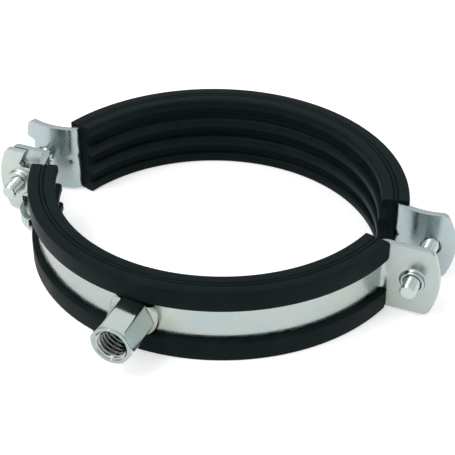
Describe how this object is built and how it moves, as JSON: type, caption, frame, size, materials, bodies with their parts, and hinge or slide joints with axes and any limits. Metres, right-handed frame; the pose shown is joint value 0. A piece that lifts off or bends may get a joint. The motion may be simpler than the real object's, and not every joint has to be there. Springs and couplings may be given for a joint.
{
  "type": "rubber-lined pipe clamp",
  "caption": "Two-piece pipe clamp: steel half bands with a ribbed rubber liner, ears drawn together by screws, a hook-on nut plate and a hexagonal connection nut.",
  "frame": {"origin": "centre of the ring, halfway along its width and midway between the centres of the two half rings", "axes": "+Z along the pipe; -Y towards the mouth of the connection nut; +X towards the ear with the threaded collar, so the ear with the nut plate is at -X"},
  "size_m": [0.1475, 0.1274, 0.0242],
  "materials": {
    "zinc_strip": "bright zinc plating on pressed strip, slightly bluish, satin to glossy",
    "zinc_plate": "bright zinc plating, slightly yellowish, satin",
    "zinc_nut": "bright zinc plating on a turned hexagon, glossy",
    "zinc_screw": "blue passivated zinc plating, glossy",
    "rubber": "black moulded rubber, satin"
  },
  "bodies": {
    "front_half": {"front_band": "zinc_strip", "front_liner": "rubber", "connection_nut": "zinc_nut"},
    "rear_half": {"rear_band": "zinc_strip", "rear_liner": "rubber"},
    "plate": {"nut_plate": "zinc_plate"},
    "screw_left": {"left_screw": "zinc_screw"},
    "screw_right": {"right_screw": "zinc_screw"}
  },
  "joints": [
    {"name": "closing", "type": "slide", "parent": "front_half", "child": "rear_half", "axis": [0, 1, 0], "range_m": [-0.0112, 0.0068]},
    {"name": "left_screw_turn", "type": "hinge", "parent": "rear_half", "child": "screw_left", "pos_m": [-0.06615, 0, 0], "axis": [0, 1, 0], "range_deg": [-5050, 3070]},
    {"name": "right_screw_turn", "type": "hinge", "parent": "rear_half", "child": "screw_right", "pos_m": [0.06615, 0, 0], "axis": [0, 1, 0], "range_deg": [-5050, 3070]},
    {"name": "plate_lift", "type": "slide", "parent": "front_half", "child": "plate", "axis": [0, -1, 0], "range_m": [0, 0.0055]}
  ],
  "couplings": [
    {"joint": "left_screw_turn", "follows": "closing", "rad_per_m": 7854},
    {"joint": "right_screw_turn", "follows": "closing", "rad_per_m": 7854}
  ]
}
